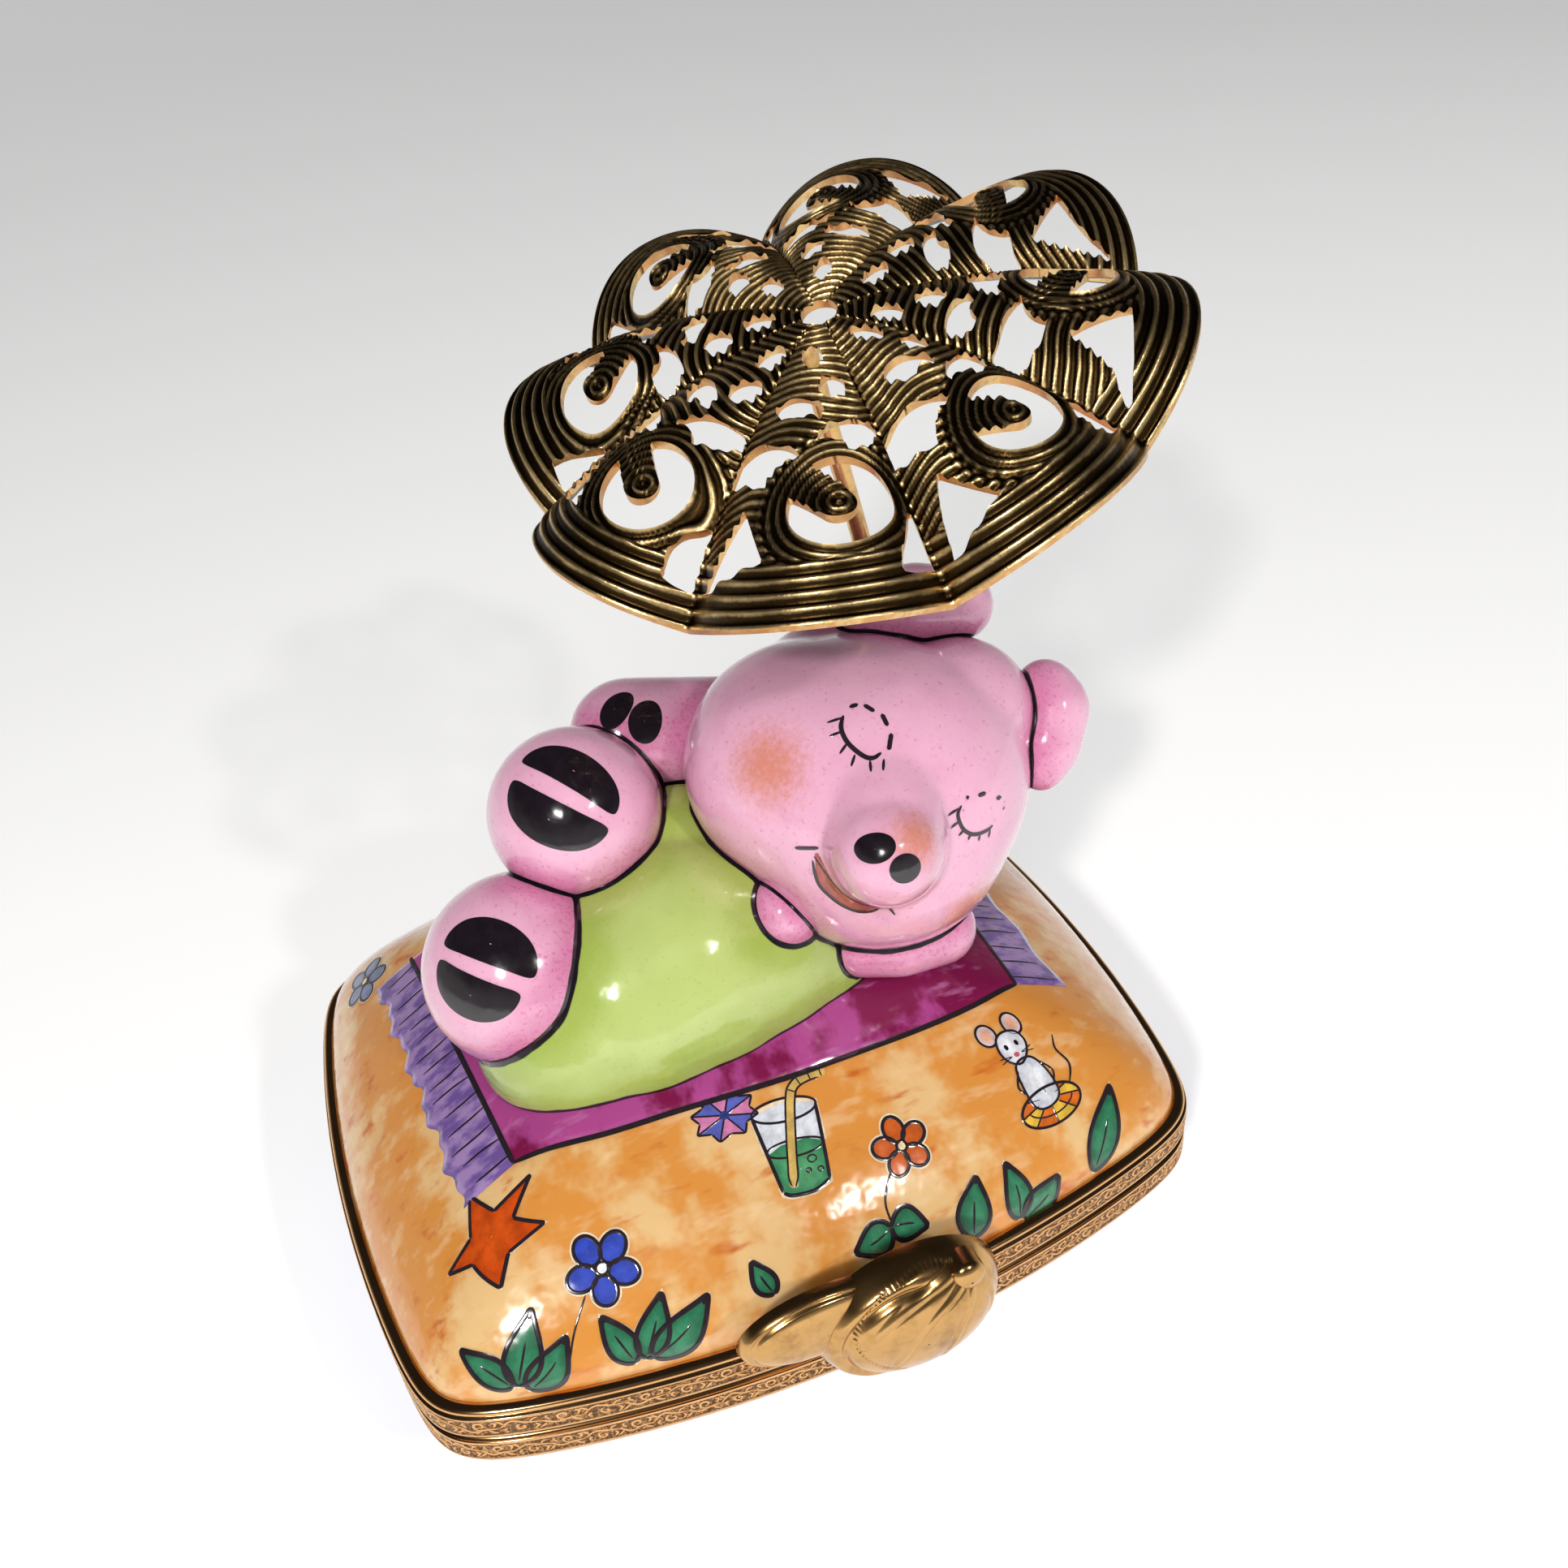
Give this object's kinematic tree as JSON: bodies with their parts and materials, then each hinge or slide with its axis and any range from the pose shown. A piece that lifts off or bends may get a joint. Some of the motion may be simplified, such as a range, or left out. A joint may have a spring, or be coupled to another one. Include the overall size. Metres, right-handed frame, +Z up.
{
  "type": "hinged trinket box",
  "caption": "Cushion-shaped hinged porcelain trinket box with gilt rims and a cap-shaped clasp; a pig sleeps on a beach towel on the lid under a pierced brass parasol.",
  "frame": {"origin": "middle of the flat foot that the box stands on", "axes": "+X right along the long side, +Y to the hinge at the back, +Z up; the clasp is on the -Y side"},
  "size_m": [0.0647, 0.06, 0.0756],
  "materials": {
    "sea_porcelain": "glossy glaze",
    "sand_porcelain": "glossy glaze, hand painted",
    "pig_glaze": "glossy glaze",
    "shirt_glaze": "glossy glaze",
    "gilt_brass": "polished and etched",
    "pole_brass": "polished",
    "old_gilt": "antique patina, bright edges"
  },
  "bodies": {
    "base": {"base_shell": "sea_porcelain", "base_rim": "gilt_brass", "base_knuckles": "gilt_brass", "hinge_pin": "gilt_brass", "catch_bump": "gilt_brass"},
    "lid": {"lid_shell": "sand_porcelain", "lid_rim": "gilt_brass", "lid_knuckles": "gilt_brass", "clasp_pad": "gilt_brass", "pig_body": "shirt_glaze", "pig_head": "pig_glaze", "pig_snout": "pig_glaze", "pig_ear_left": "pig_glaze", "pig_ear_right": "pig_glaze", "pig_leg_upper": "pig_glaze", "pig_leg_lower": "pig_glaze", "pig_arm_upper": "pig_glaze", "pig_arm_lower": "pig_glaze", "pig_hand_lower": "pig_glaze", "pole_ferrule": "gilt_brass", "parasol_pole": "pole_brass", "parasol_canopy": "old_gilt"},
    "clasp": {"clasp_tongue": "gilt_brass", "clasp_cap": "gilt_brass"}
  },
  "joints": [
    {"name": "lid_hinge", "type": "hinge", "parent": "base", "child": "lid", "pos_m": [0, 0.0277, 0.014], "axis": [-1, 0, 0], "range_deg": [0, 100]},
    {"name": "clasp_flex", "type": "hinge", "parent": "lid", "child": "clasp", "pos_m": [0.0015, -0.0271, 0.0165], "axis": [-1, 0, 0], "range_deg": [0, 5], "stiffness_Nm_per_rad": 0.1}
  ]
}
